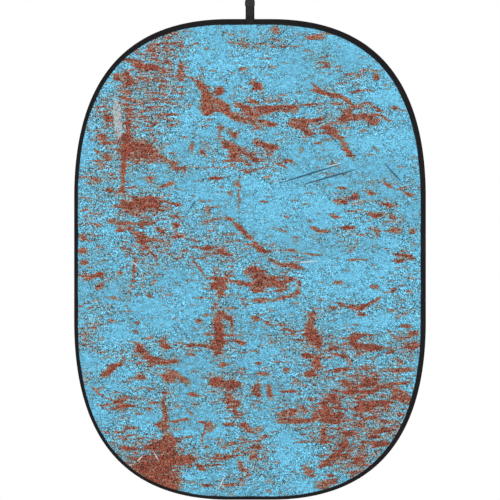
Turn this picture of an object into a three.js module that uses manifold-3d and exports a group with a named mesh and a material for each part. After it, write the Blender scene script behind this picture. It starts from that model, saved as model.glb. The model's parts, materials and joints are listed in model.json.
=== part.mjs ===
// A collapsible backdrop panel: two cloths stretched in an oval hoop of flat spring steel, bound in black tape
// and hung from a webbing strap. Millimetres, +Z up. The printed cloth faces -Y, and the origin is where a hook
// bears inside the top of the strap's loop.
//
// The hoop bends anywhere along its long sides. Here it bends at FOLD_HINGES level lines across the middle, so
// the hoop, the binding and both cloths are cut there into a top, a bottom and the bands between them.
import * as THREE from "three";
import { ParametricGeometry } from "three/addons/geometries/ParametricGeometry.js";
import { mergeVertices } from "three/addons/utils/BufferGeometryUtils.js";
import Module from "manifold-3d";

const wasm = await Module();
wasm.setup();

// ---- Driving dimensions ----

const CLEARANCE = 0.3; // between pieces that lie against each other

const PANEL_WIDTH = 1500;
const PANEL_HEIGHT = 2050;
const SIDE_STRAIGHT = 530; // the straight stretch in the middle of each long side
const END_STRAIGHT = 180; // and at the top and bottom
const CORNER_REACH_UP = 0.625; // how far a corner's two handles reach, as shares of its rise and its run
const CORNER_REACH_ACROSS = 0.7;
const CORNER_STEPS = 14;

const FOLD_HINGES = 8;
const FOLD_PITCH = 80; // from one hinge line to the next
const FOLD_ANGLE = 22.5; // the most that one hinge turns, in degrees
const FOLD_SPARE_ANGLE = 0.4; // what the bevelled ends keep free beyond half of that
const HALF_REACH = 20; // half the depth of the prisms that cut the bands, well over the panel's own

const HOOP_DEPTH = 8; // the steel band's width, across the panel's thickness
const HOOP_THICKNESS = 1.2;
const HOOP_INSET = 2.8; // from the rim's outer edge to the steel
const HOOP_END_GAP = 1;

const FERRULE_LENGTH = 60;
const FERRULE_WALL = 0.6;
const RIVET_SPACING = 32;
const RIVET_SHANK_RADIUS = 1.4;
const RIVET_HEAD_RADIUS = 2.4;
const RIVET_HEAD_HEIGHT = 0.5;

const TAPE_THICKNESS = 0.8; // the binding's
const RIM_HALF_DEPTH = 6;
const RIM_EDGE_HALF_DEPTH = 4.6; // half the flat outer edge
const RIM_EDGE_ROUND = 1.2;
const RIM_SHOULDER = 6.5; // where the binding starts to slope down to the cloth
const LIP_HALF_GAP = 1.4; // half the slot that the cloths come out of
const BINDING_WIDTH = 19.5;
const BINDING_WIDER_RIGHT = 3; // the tape is sewn wider at the right and the top than at the left and the bottom
const BINDING_WIDER_UP = 5;

const CLOTH_THICKNESS = 0.8;
const CLOTH_HALF_GAP = 0.3; // from the middle plane to each cloth
const CLOTH_INSET = 6.2; // from the rim's outer edge to the cloths' hidden edges

const STRAP_WIDTH = 38;
const STRAP_THICKNESS = 1.6;
const LOOP_TO_RIM = 180; // from the hook's bearing point to the top of the rim
const LOOP_INNER_RADIUS = 12;
const LOOP_CLOSED_AT = -50; // below this height the strap's two legs run side by side
const LEG_OFFSET = 1.9; // from the middle plane to the middle of a leg there
const LEGS_PART_ABOVE_RIM = 30; // where the legs part again to pass each side of the rim
const LEGS_END_ABOVE_RIM = 12;
const TAB_TOP_ABOVE_RIM = 3; // the sewn ends reach this far above the rim
const TAB_END_INSET = 23.5; // and this far down over the binding

const SLIDER_WIDTH = 42.6;
const SLIDER_HEIGHT = 27;
const SLIDER_DEPTH = 10;
const SLIDER_CORNER_RADIUS = 6;
const SLIDER_ABOVE_RIM = 67; // its middle
const SLIDER_SHIFT = -0.6; // it sits a little to the left on the webbing
const SLOT_WIDTH = 40;
const SLOT_NEAR = 0.8; // the slots' two walls, from the middle plane
const SLOT_FAR = 3;
const GROOVE_WIDTH = 20;
const GROOVE_HEIGHT = 3.2;
const GROOVE_DEPTH = 0.7;
const GROOVE_HEIGHTS = [-5.5, 2.5, 10.5]; // from the slider's middle

// ---- Heights worked out from them ----

const RIM_TOP = -LOOP_TO_RIM;
const RIM_BOTTOM = RIM_TOP - PANEL_HEIGHT;
const PANEL_MIDDLE = (RIM_TOP + RIM_BOTTOM) / 2;
const FAR_AWAY = 2000; // past the panel's ends, measured from its middle

// The height of hinge line 1 to FOLD_HINGES, counted from the top.
const hingeHeight = (hinge) => PANEL_MIDDLE + ((FOLD_HINGES + 1) / 2 - hinge) * FOLD_PITCH;

// ---- Materials ----

const material = (color, roughness, metalness = 0) =>
  new THREE.MeshStandardMaterial({ color, roughness, metalness });

const PRINTED_CLOTH = material(0x6fb2cc, 0.85);
const PLAIN_CLOTH = material(0x55595c, 0.85);
const BLACK_TAPE = material(0x1c1a1c, 0.9);
const BLACK_WEBBING = material(0x232323, 0.85);
const BLACK_PLASTIC = material(0x262626, 0.5);
const SPRING_STEEL = material(0x6d7278, 0.35, 1);
const ZINC = material(0xa9adb0, 0.4, 1);

// ---- From three.js geometry to solids and back ----

function solidOf(geometry) {
  geometry.deleteAttribute("normal");
  geometry.deleteAttribute("uv");
  const merged = mergeVertices(geometry, 1e-4);
  return new wasm.Manifold(
    new wasm.Mesh({
      numProp: 3,
      vertProperties: merged.attributes.position.array,
      triVerts: new Uint32Array(merged.index.array),
    }),
  );
}

function meshOf(name, solid, finish) {
  const { vertProperties, triVerts } = solid.getMesh();
  const geometry = new THREE.BufferGeometry();
  geometry.setAttribute("position", new THREE.BufferAttribute(vertProperties, 3));
  geometry.setIndex(new THREE.BufferAttribute(triVerts, 1));
  geometry.computeVertexNormals();
  const mesh = new THREE.Mesh(geometry, finish);
  mesh.name = name;
  return mesh;
}

// ---- Shape helpers ----

const X = new THREE.Vector3(1, 0, 0);
const Y = new THREE.Vector3(0, 1, 0);
const Z = new THREE.Vector3(0, 0, 1);
const BACK_TO_FRONT = new THREE.Matrix4().makeBasis(X, Z, Y.clone().negate());
const LEFT_TO_RIGHT = new THREE.Matrix4().makeBasis(Y, Z, X);

const polygon = (points) => new THREE.Shape(points.map(([a, b]) => new THREE.Vector2(a, b)));

const rectangle = (aLow, aHigh, bLow, bHigh) =>
  polygon([
    [aLow, bLow],
    [aHigh, bLow],
    [aHigh, bHigh],
    [aLow, bHigh],
  ]);

// A plate whose outline is drawn in x and z, from yBack forwards to yFront.
function plate(outline, yFront, yBack) {
  const geometry = new THREE.ExtrudeGeometry(outline, { depth: yBack - yFront, bevelEnabled: false });
  geometry.applyMatrix4(BACK_TO_FRONT).translate(0, yBack, 0);
  return solidOf(geometry);
}

// A bar whose section is drawn in y and z, from xLow to xHigh.
function bar(section, xLow, xHigh) {
  const geometry = new THREE.ExtrudeGeometry(section, { depth: xHigh - xLow, bevelEnabled: false });
  geometry.applyMatrix4(LEFT_TO_RIGHT).translate(xLow, 0, 0);
  return solidOf(geometry);
}

// The outline of a ribbon of this thickness along a row of points.
function ribbon(points, thickness) {
  const side = (sign) =>
    points.map((point, i) => {
      const before = points[Math.max(i - 1, 0)];
      const after = points[Math.min(i + 1, points.length - 1)];
      const along = after.clone().sub(before).normalize();
      return new THREE.Vector2(-along.y, along.x).multiplyScalar((sign * thickness) / 2).add(point);
    });
  return new THREE.Shape([...side(1), ...side(-1).reverse()]);
}

// ---- The panel's oval outline ----

// The rim's outer edge in x and z, clockwise from the top of the left side.
function panelOutline() {
  const halfWidth = PANEL_WIDTH / 2;
  const halfHeight = PANEL_HEIGHT / 2;
  const side = SIDE_STRAIGHT / 2;
  const end = END_STRAIGHT / 2;
  const besideStrap = STRAP_WIDTH / 2 + 3;
  const reachUp = side + CORNER_REACH_UP * (halfHeight - side);
  const reachAcross = end + CORNER_REACH_ACROSS * (halfWidth - end);
  const path = new THREE.Path();
  path.moveTo(-halfWidth, side);
  path.bezierCurveTo(-halfWidth, reachUp, -reachAcross, halfHeight, -end, halfHeight);
  path.lineTo(-besideStrap, halfHeight);
  path.lineTo(besideStrap, halfHeight);
  path.lineTo(end, halfHeight);
  path.bezierCurveTo(reachAcross, halfHeight, halfWidth, reachUp, halfWidth, side);
  path.lineTo(halfWidth, -side);
  path.bezierCurveTo(halfWidth, -reachUp, reachAcross, -halfHeight, end, -halfHeight);
  path.lineTo(-end, -halfHeight);
  path.bezierCurveTo(-reachAcross, -halfHeight, -halfWidth, -reachUp, -halfWidth, -side);
  return path.getPoints(CORNER_STEPS);
}

// Each point of the outline with its direction out of the panel.
const STATIONS = panelOutline().map((point, i, all) => {
  const before = all[(i + all.length - 1) % all.length];
  const after = all[(i + 1) % all.length];
  const along = after.clone().sub(point).normalize().add(point.clone().sub(before).normalize());
  return { point, outward: new THREE.Vector2(-along.y, along.x).normalize() };
});

const inset = ({ point, outward }, distance) => point.clone().addScaledVector(outward, -distance);

// A closed ring round the panel. section gives, for a station's outward direction, the corners of the ring's
// section as [inset from the rim's edge, y].
function ring(section) {
  const corners = section(new THREE.Vector2(0, 1)).length;
  const place = (u, v, target) => {
    const station = STATIONS[Math.round(u * STATIONS.length) % STATIONS.length];
    const [depth, y] = section(station.outward)[Math.round((1 - v) * corners) % corners];
    const { x, y: height } = inset(station, depth);
    target.set(x, y, PANEL_MIDDLE + height);
  };
  return solidOf(new ParametricGeometry(place, STATIONS.length, corners));
}

const bindingWidth = (outward) =>
  BINDING_WIDTH + BINDING_WIDER_RIGHT * outward.x + BINDING_WIDER_UP * outward.y;

// The binding is tape folded round the rim: a channel that is open towards the cloths.
function bindingSection(outward) {
  const width = bindingWidth(outward);
  const lip = LIP_HALF_GAP + TAPE_THICKNESS;
  const insideDepth = RIM_HALF_DEPTH - TAPE_THICKNESS;
  const frontHalf = [
    [0, -RIM_EDGE_HALF_DEPTH],
    [RIM_EDGE_ROUND, -RIM_HALF_DEPTH],
    [RIM_SHOULDER, -RIM_HALF_DEPTH],
    [width, -lip],
    [width, -LIP_HALF_GAP],
    [RIM_SHOULDER, -insideDepth],
    [RIM_EDGE_ROUND + TAPE_THICKNESS / 2, -insideDepth],
    [TAPE_THICKNESS, -RIM_EDGE_HALF_DEPTH],
  ];
  const backHalf = frontHalf.map(([depth, y]) => [depth, -y]).reverse();
  return [...frontHalf, ...backHalf];
}

const hoopSection = () => [
  [HOOP_INSET, -HOOP_DEPTH / 2],
  [HOOP_INSET + HOOP_THICKNESS, -HOOP_DEPTH / 2],
  [HOOP_INSET + HOOP_THICKNESS, HOOP_DEPTH / 2],
  [HOOP_INSET, HOOP_DEPTH / 2],
];

function cloth(side) {
  const near = side * CLOTH_HALF_GAP;
  const far = side * (CLOTH_HALF_GAP + CLOTH_THICKNESS);
  const outline = new THREE.Shape(STATIONS.map((station) => inset(station, CLOTH_INSET)).reverse());
  return plate(outline, Math.min(near, far), Math.max(near, far)).translate(0, 0, PANEL_MIDDLE);
}

// ---- Cutting at the hinge lines ----

// The space between two heights. Its ends are bevelled from the middle plane to both faces, so that bands on
// this prism turn by FOLD_ANGLE against each other before their corners meet.
function bandPrism(low, high) {
  const bevel = HALF_REACH * Math.tan(THREE.MathUtils.degToRad(FOLD_ANGLE / 2 + FOLD_SPARE_ANGLE));
  const gap = CLEARANCE / 2;
  const section = polygon([
    [-HALF_REACH, low + gap + bevel],
    [0, low + gap],
    [HALF_REACH, low + gap + bevel],
    [HALF_REACH, high - gap - bevel],
    [0, high - gap],
    [-HALF_REACH, high - gap - bevel],
  ]);
  return bar(section, -PANEL_WIDTH, PANEL_WIDTH);
}

const leftHalf = plate(rectangle(-PANEL_WIDTH, 0, -2 * PANEL_HEIGHT, PANEL_HEIGHT), -HALF_REACH, HALF_REACH);
const rightHalf = plate(rectangle(0, PANEL_WIDTH, -2 * PANEL_HEIGHT, PANEL_HEIGHT), -HALF_REACH, HALF_REACH);

// ---- The strap ----

// One leg's middle line and half the bight, mirrored for the other leg.
function strapLoop() {
  const bight = LOOP_INNER_RADIUS + STRAP_THICKNESS / 2;
  const legsEnd = RIM_TOP + LEGS_END_ABOVE_RIM;
  const legsPart = RIM_TOP + LEGS_PART_ABOVE_RIM;
  const endOffset = RIM_HALF_DEPTH + CLEARANCE + STRAP_THICKNESS / 2;
  const path = new THREE.Path();
  path.moveTo(-endOffset, legsEnd);
  path.lineTo(-LEG_OFFSET, legsPart);
  path.lineTo(-LEG_OFFSET, LOOP_CLOSED_AT);
  path.lineTo(-bight, -LOOP_INNER_RADIUS);
  path.absarc(0, -LOOP_INNER_RADIUS, bight, Math.PI, 0, true);
  path.lineTo(LEG_OFFSET, LOOP_CLOSED_AT);
  path.lineTo(LEG_OFFSET, legsPart);
  path.lineTo(endOffset, legsEnd);
  return bar(ribbon(path.getPoints(10), STRAP_THICKNESS), -STRAP_WIDTH / 2, STRAP_WIDTH / 2);
}

// A sewn end of the strap, lying over the binding on the front or the back.
function strapTab(side) {
  const slopeLength = bindingWidth(new THREE.Vector2(0, 1)) - RIM_SHOULDER;
  const slope = (RIM_HALF_DEPTH - LIP_HALF_GAP - TAPE_THICKNESS) / slopeLength;
  const under = RIM_HALF_DEPTH + CLEARANCE;
  const drop = slope * (TAB_END_INSET - RIM_SHOULDER);
  const corners = [
    [under, RIM_TOP + TAB_TOP_ABOVE_RIM],
    [under, RIM_TOP - RIM_SHOULDER],
    [under - drop, RIM_TOP - TAB_END_INSET],
    [under - drop + STRAP_THICKNESS, RIM_TOP - TAB_END_INSET],
    [under + STRAP_THICKNESS, RIM_TOP - RIM_SHOULDER],
    [under + STRAP_THICKNESS, RIM_TOP + TAB_TOP_ABOVE_RIM],
  ].map(([y, z]) => [side * y, z]);
  return bar(polygon(corners), -STRAP_WIDTH / 2, STRAP_WIDTH / 2);
}

// The slider is one moulding with a slot for each leg and finger grooves on both faces.
function strapSlider() {
  const w = SLIDER_WIDTH / 2;
  const h = SLIDER_HEIGHT / 2;
  const r = SLIDER_CORNER_RADIUS;
  const outline = new THREE.Shape();
  outline.moveTo(-w + r, -h);
  outline.lineTo(w - r, -h);
  outline.absarc(w - r, -h + r, r, -Math.PI / 2, 0);
  outline.absarc(w - r, h - r, r, 0, Math.PI / 2);
  outline.absarc(-w + r, h - r, r, Math.PI / 2, Math.PI);
  outline.absarc(-w + r, -h + r, r, Math.PI, (3 * Math.PI) / 2);
  const rounded = new THREE.Shape(outline.getPoints(6));
  let solid = plate(rounded, -SLIDER_DEPTH / 2, SLIDER_DEPTH / 2);
  for (const [near, far] of [[-SLOT_FAR, -SLOT_NEAR], [SLOT_NEAR, SLOT_FAR]]) {
    solid = solid.subtract(plate(rectangle(-SLOT_WIDTH / 2, SLOT_WIDTH / 2, -2 * h, 2 * h), near, far));
  }
  const bottom = SLIDER_DEPTH / 2 - GROOVE_DEPTH;
  for (const height of GROOVE_HEIGHTS) {
    const low = height - GROOVE_HEIGHT / 2;
    const groove = rectangle(-GROOVE_WIDTH / 2, GROOVE_WIDTH / 2, low, low + GROOVE_HEIGHT);
    solid = solid.subtract(plate(groove, -SLIDER_DEPTH, -bottom));
    solid = solid.subtract(plate(groove, bottom, SLIDER_DEPTH));
  }
  return solid.translate(SLIDER_SHIFT, 0, RIM_TOP + SLIDER_ABOVE_RIM);
}

// ---- The hoop's joint ----

const steelMiddle = RIM_BOTTOM + HOOP_INSET + HOOP_THICKNESS / 2; // at the bottom of the hoop
const boreHalfHeight = HOOP_THICKNESS / 2 + CLEARANCE;
const boreHalfDepth = HOOP_DEPTH / 2 + CLEARANCE;
const ferruleHalfHeight = boreHalfHeight + FERRULE_WALL;

// A rivet stands upright through the ferrule and one end of the steel. Its axis is the lathe's own.
function rivet(radiusAdded = 0) {
  const shank = RIVET_SHANK_RADIUS + radiusAdded;
  const head = RIVET_HEAD_RADIUS + radiusAdded;
  const seat = ferruleHalfHeight + CLEARANCE;
  const end = seat + RIVET_HEAD_HEIGHT;
  const profile = [
    [0, -end],
    [head, -end],
    [head, -seat],
    [shank, -seat],
    [shank, seat],
    [head, seat],
    [head, end],
    [0, end],
  ].map(([radius, height]) => new THREE.Vector2(radius, height));
  const geometry = new THREE.LatheGeometry(profile, 16);
  geometry.rotateX(Math.PI / 2);
  return solidOf(geometry);
}

function hoopFerrule() {
  const outer = rectangle(
    -boreHalfDepth - FERRULE_WALL,
    boreHalfDepth + FERRULE_WALL,
    -ferruleHalfHeight,
    ferruleHalfHeight,
  );
  const bore = rectangle(-boreHalfDepth, boreHalfDepth, -boreHalfHeight, boreHalfHeight);
  const sleeve = bar(outer, -FERRULE_LENGTH / 2, FERRULE_LENGTH / 2);
  return sleeve.subtract(bar(bore, -FERRULE_LENGTH, FERRULE_LENGTH)).translate(0, 0, steelMiddle);
}

const rivetAt = (side, radiusAdded) => rivet(radiusAdded).translate((side * RIVET_SPACING) / 2, 0, steelMiddle);

// ---- Assembly ----

const panel = new THREE.Group();
const put = (name, solid, finish) => panel.add(meshOf(name, solid, finish));

const endGap = plate(
  rectangle(-HOOP_END_GAP / 2, HOOP_END_GAP / 2, RIM_BOTTOM - 1, RIM_BOTTOM + RIM_SHOULDER),
  -HALF_REACH,
  HALF_REACH,
);
const rivetHoles = rivetAt(-1, CLEARANCE).add(rivetAt(1, CLEARANCE));
const frontCloth = cloth(-1);
const backCloth = cloth(1);
const binding = ring(bindingSection);
const hoop = ring(hoopSection).subtract(endGap).subtract(rivetHoles);

put("strap_loop", strapLoop(), BLACK_WEBBING);
put("strap_slider", strapSlider(), BLACK_PLASTIC);
put("strap_tab_front", strapTab(-1), BLACK_WEBBING);
put("strap_tab_back", strapTab(1), BLACK_WEBBING);

const top = bandPrism(hingeHeight(1), PANEL_MIDDLE + FAR_AWAY);
put("front_cloth_top", frontCloth.intersect(top), PRINTED_CLOTH);
put("back_cloth_top", backCloth.intersect(top), PLAIN_CLOTH);
put("binding_top", binding.intersect(top), BLACK_TAPE);
put("hoop_top", hoop.intersect(top), SPRING_STEEL);

for (let band = 1; band < FOLD_HINGES; band += 1) {
  const space = bandPrism(hingeHeight(band + 1), hingeHeight(band));
  put(`front_cloth_band_${band}`, frontCloth.intersect(space), PRINTED_CLOTH);
  put(`back_cloth_band_${band}`, backCloth.intersect(space), PLAIN_CLOTH);
  for (const [side, half] of [["left", leftHalf], ["right", rightHalf]]) {
    put(`binding_${side}_${band}`, binding.intersect(space).intersect(half), BLACK_TAPE);
    put(`hoop_${side}_${band}`, hoop.intersect(space).intersect(half), SPRING_STEEL);
  }
}

const bottom = bandPrism(PANEL_MIDDLE - FAR_AWAY, hingeHeight(FOLD_HINGES));
put("front_cloth_bottom", frontCloth.intersect(bottom), PRINTED_CLOTH);
put("back_cloth_bottom", backCloth.intersect(bottom), PLAIN_CLOTH);
put("binding_bottom", binding.intersect(bottom), BLACK_TAPE);
put("hoop_bottom_left", hoop.intersect(bottom).intersect(leftHalf), SPRING_STEEL);
put("hoop_bottom_right", hoop.intersect(bottom).intersect(rightHalf), SPRING_STEEL);
put("hoop_ferrule", hoopFerrule().subtract(rivetHoles), ZINC);
put("ferrule_rivet_left", rivetAt(-1), ZINC);
put("ferrule_rivet_right", rivetAt(1), ZINC);

export default panel;
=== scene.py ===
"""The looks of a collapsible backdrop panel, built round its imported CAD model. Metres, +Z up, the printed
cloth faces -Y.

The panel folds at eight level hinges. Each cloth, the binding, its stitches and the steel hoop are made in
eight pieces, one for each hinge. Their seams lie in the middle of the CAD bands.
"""
import json
import math

import bmesh
import bpy
import numpy as np
from mathutils import Matrix, Vector, noise

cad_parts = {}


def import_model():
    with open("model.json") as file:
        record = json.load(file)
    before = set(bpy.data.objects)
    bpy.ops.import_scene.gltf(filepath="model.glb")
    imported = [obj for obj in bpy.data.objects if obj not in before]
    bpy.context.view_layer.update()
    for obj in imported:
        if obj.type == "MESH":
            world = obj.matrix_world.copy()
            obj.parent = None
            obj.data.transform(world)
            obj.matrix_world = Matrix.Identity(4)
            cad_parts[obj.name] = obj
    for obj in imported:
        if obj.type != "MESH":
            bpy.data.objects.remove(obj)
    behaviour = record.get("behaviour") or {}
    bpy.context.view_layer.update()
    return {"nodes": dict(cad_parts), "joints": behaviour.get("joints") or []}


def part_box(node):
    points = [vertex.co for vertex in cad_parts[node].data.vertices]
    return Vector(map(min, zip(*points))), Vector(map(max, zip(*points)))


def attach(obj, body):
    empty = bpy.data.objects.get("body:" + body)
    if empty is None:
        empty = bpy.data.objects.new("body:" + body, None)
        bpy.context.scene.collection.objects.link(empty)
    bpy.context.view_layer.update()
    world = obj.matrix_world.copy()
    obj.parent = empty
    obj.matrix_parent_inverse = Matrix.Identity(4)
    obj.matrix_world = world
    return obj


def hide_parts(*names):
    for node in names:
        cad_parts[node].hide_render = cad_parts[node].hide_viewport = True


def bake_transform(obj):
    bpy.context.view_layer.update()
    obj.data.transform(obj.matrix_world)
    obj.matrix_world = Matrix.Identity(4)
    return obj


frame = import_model()

MM = 0.001
CM = 0.01

# ---- Sizes shared with the CAD model ----

SIDE_STRAIGHT = 0.530
END_STRAIGHT = 0.180
CORNER_REACH_UP = 0.625
CORNER_REACH_ACROSS = 0.7
BINDING_WIDTH = 19.5 * MM
BINDING_WIDER_RIGHT = 3 * MM
BINDING_WIDER_UP = 5 * MM
RIM_HALF_DEPTH = 6 * MM
RIM_SHOULDER = 6.5 * MM
LIP_HALF_GAP = 1.4 * MM
TAPE_THICKNESS = 0.8 * MM
CLOTH_INSET = 6.2 * MM
HOOP_INSET = 2.8 * MM
HOOP_THICKNESS = 1.2 * MM
HOOP_HALF_DEPTH = 4 * MM
HOOP_END_GAP = 1 * MM
HOOP_BEVEL = 0.25 * MM
STRAP_WIDTH = 38 * MM
STRAP_THICKNESS = 1.6 * MM
LOOP_INNER_RADIUS = 12 * MM
LOOP_CLOSED_AT = -50 * MM
LEG_OFFSET = 1.9 * MM
LEGS_PART_ABOVE_RIM = 30 * MM
LEGS_END_ABOVE_RIM = 12 * MM
TAB_END_INSET = 23.5 * MM
CLEARANCE = 0.3 * MM

# ---- Places taken from the frame ----

RIM_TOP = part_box("binding_top")[1][2]
RIM_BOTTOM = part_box("binding_bottom")[0][2]
MIDDLE = (RIM_TOP + RIM_BOTTOM) / 2
HALF_HEIGHT = (RIM_TOP - RIM_BOTTOM) / 2
HALF_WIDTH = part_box("binding_right_4")[1][0]
FOLDS = [joint for joint in frame["joints"] if joint["name"].startswith("fold")]
HINGE_HEIGHTS = [joint["pos_m"][2] for joint in FOLDS]
PIECES = len(FOLDS)

# The seams between the pieces, from the top down, with the rim's own ends.
SEAMS = [(high + low) / 2 for high, low in zip(HINGE_HEIGHTS, HINGE_HEIGHTS[1:])]
LEVELS = [RIM_TOP, *SEAMS, RIM_BOTTOM]


def nodes_named(*starts):
    return [name for name in frame["nodes"] if name.startswith(starts)]


# ---- The panel's outline ----

CORNER_POINTS = 120
OUTLINE_SAMPLES = 1600


def unit(vectors):
    return vectors / np.linalg.norm(vectors, axis=-1, keepdims=True)


def lengths_along(points):
    """How far each point is from the first, along the line through them."""
    return np.concatenate([[0], np.cumsum(np.linalg.norm(np.diff(points, axis=0), axis=1))])


def bezier(a, b, c, d, steps):
    t = np.linspace(0, 1, steps)[:, None]
    return (1 - t) ** 3 * a + 3 * (1 - t) ** 2 * t * b + 3 * (1 - t) * t**2 * c + t**3 * d


def rim_outline():
    """Points (x, z) along the rim's outer edge from the middle of the bottom, clockwise, and back to it."""
    side = SIDE_STRAIGHT / 2
    end = END_STRAIGHT / 2
    up = side + CORNER_REACH_UP * (HALF_HEIGHT - side)
    across = end + CORNER_REACH_ACROSS * (HALF_WIDTH - end)
    corners = [(HALF_WIDTH, side), (HALF_WIDTH, up), (across, HALF_HEIGHT), (end, HALF_HEIGHT)]
    right_down = bezier(*np.array(corners), CORNER_POINTS)[::-1]
    half = np.concatenate([[[0, HALF_HEIGHT]], right_down, right_down[::-1] * [1, -1], [[0, -HALF_HEIGHT]]])
    left_up = half[::-1] * [-1, 1]
    return np.concatenate([left_up, half[1:]]) + [0, MIDDLE]


OUTLINE = rim_outline()
ALONG = lengths_along(OUTLINE)
ROUND = ALONG[-1]


def rim_at(distance):
    """The rim's outer edge and its outward direction, at distances from the middle of the bottom."""

    def point_at(where):
        return np.stack([np.interp(where, ALONG, OUTLINE[:, i]) for i in (0, 1)], axis=-1)

    reach = 2 * MM
    along = unit(point_at((distance + reach) % ROUND) - point_at((distance - reach) % ROUND))
    return point_at(distance), np.stack([-along[..., 1], along[..., 0]], axis=-1)


def distance_at(height, right):
    """How far round the rim a height is, on the left or the right side. Distances run clockwise."""
    left = ROUND / 2 - np.interp(RIM_TOP - height, *drop_from_top())
    return ROUND - left if right else left


def drop_from_top():
    upper = ALONG >= ROUND / 2
    return RIM_TOP - OUTLINE[upper, 1], ALONG[upper] - ROUND / 2


def half_width_at(height, inset):
    """Half the width of the outline, drawn in by inset, at a height."""
    top = RIM_TOP - 1e-9  # just under it, past the straight end
    distances = np.linspace(distance_at(top, True), ROUND - END_STRAIGHT / 2, OUTLINE_SAMPLES)
    point, outward = rim_at(distances)
    drawn_in = point - inset * outward
    drawn_in = drawn_in[np.argsort(-drawn_in[:, 1])]
    return np.interp(-height, -drawn_in[:, 1], drawn_in[:, 0])


def drawn_in_to(point, outward, inset, y):
    """The places (x, y, z) that lie inset from points of the rim's outer edge, at depths y."""
    return np.stack([point[:, 0] - inset * outward[:, 0], y, point[:, 1] - inset * outward[:, 1]], axis=-1)


def binding_width(outward):
    return BINDING_WIDTH + BINDING_WIDER_RIGHT * outward[..., 0] + BINDING_WIDER_UP * outward[..., 1]


# ---- Mesh helpers ----

SHARP_ANGLE = math.radians(35)  # faces that meet at more than this meet at a sharp edge


def volume_of(points, quads):
    a, b, c, d = (points[quads[:, i]] for i in range(4))
    return float(np.einsum("ij,ij->", a, np.cross(b, c) + np.cross(c, d)) / 6)


def linked(name, data):
    """A new object in the scene."""
    obj = bpy.data.objects.new(name, data)
    bpy.context.scene.collection.objects.link(obj)
    return obj


def smooth_shaded(mesh):
    mesh.polygons.foreach_set("use_smooth", np.ones(len(mesh.polygons), bool))
    mesh.set_sharp_from_angle(angle=SHARP_ANGLE)


def mesh_object(name, points, quads, uv, material=None, fields=None):
    """A smooth-shaded solid of four-sided faces. uv gives each point's place on the flat material."""
    mesh = bpy.data.meshes.new(name)
    points = np.asarray(points, float)
    if volume_of(points, quads) < 0:
        quads = quads[:, ::-1]
    quads = np.ascontiguousarray(quads, np.int32)
    mesh.vertices.add(len(points))
    mesh.vertices.foreach_set("co", np.asarray(points, np.float32).ravel())
    mesh.loops.add(quads.size)
    mesh.loops.foreach_set("vertex_index", quads.ravel())
    mesh.polygons.add(len(quads))
    mesh.polygons.foreach_set("loop_start", np.arange(0, quads.size, 4, dtype=np.int32))
    mesh.update(calc_edges=True)
    mesh.validate()
    layer = mesh.uv_layers.new(name="flat")
    layer.data.foreach_set("uv", np.asarray(uv, np.float32)[quads.ravel()].ravel())
    for field, values in (fields or {}).items():
        attribute = mesh.attributes.new(field, "FLOAT", "POINT")
        attribute.data.foreach_set("value", np.asarray(values, np.float32))
    smooth_shaded(mesh)
    if material:
        mesh.materials.append(material)
    return linked(name, mesh)


def grid_quads(rows, columns, first=0, flip=False):
    """The faces of a grid of points with that many rows and columns of points."""
    row, column = np.meshgrid(np.arange(rows - 1), np.arange(columns - 1), indexing="ij")
    corner = (first + row * columns + column).ravel()
    quads = np.stack([corner, corner + columns, corner + columns + 1, corner + 1], axis=1)
    return quads[:, ::-1] if flip else quads


def slab_quads(rows, columns):
    """The faces of a thin solid: a front grid, a back grid, and the strips round their edges."""
    count = rows * columns
    edge = np.concatenate(
        [
            np.arange(columns),
            np.arange(1, rows) * columns + columns - 1,
            (rows - 1) * columns + np.arange(columns - 2, -1, -1),
            np.arange(rows - 2, -1, -1) * columns,
        ]
    )
    strips = np.stack([edge[:-1], edge[1:], edge[1:] + count, edge[:-1] + count], axis=1)
    return np.concatenate([grid_quads(rows, columns), grid_quads(rows, columns, count, True), strips])


def join_parts(parts):
    """Joins (points, quads, uv) parts into one."""
    starts = np.cumsum([0] + [len(points) for points, _, _ in parts])
    points = np.concatenate([part[0] for part in parts])
    quads = np.concatenate([part[1] + start for part, start in zip(parts, starts)])
    return points, quads, np.concatenate([part[2] for part in parts])


def sweep(rings, along, around):
    """A closed solid through rings of points (stations, corners, 3), with both ends capped."""
    stations, corners = rings.shape[:2]
    ring, corner = np.meshgrid(np.arange(stations - 1), np.arange(corners), indexing="ij")
    here = (ring * corners + corner).ravel()
    beside = (ring * corners + (corner + 1) % corners).ravel()
    quads = [np.stack([here, here + corners, beside + corners, beside], axis=1)]
    half = corners // 2
    for first, flip in ((0, False), ((stations - 1) * corners, True)):
        low = first + np.arange(half - 1)
        high = first + corners - 1 - np.arange(half - 1)
        cap = np.stack([low, low + 1, high - 1, high], axis=1)
        quads.append(cap[:, ::-1] if flip else cap)
    uv = np.stack(np.broadcast_arrays(along[:, None], around[None, :]), axis=-1).reshape(-1, 2)
    return rings.reshape(-1, 3), np.concatenate(quads), uv


def bend(piece):
    """Applies the transform of one of the eight pieces to its mesh."""
    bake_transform(piece)


# ---- Node helpers ----


def srgb(*parts):
    """A node's colour from the red, green and blue of a paint chart, 0 to 255."""
    linear = (((part / 255 + 0.055) / 1.055) ** 2.4 if part > 10 else part / 255 / 12.92 for part in parts)
    return (*linear, 1)


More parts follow.
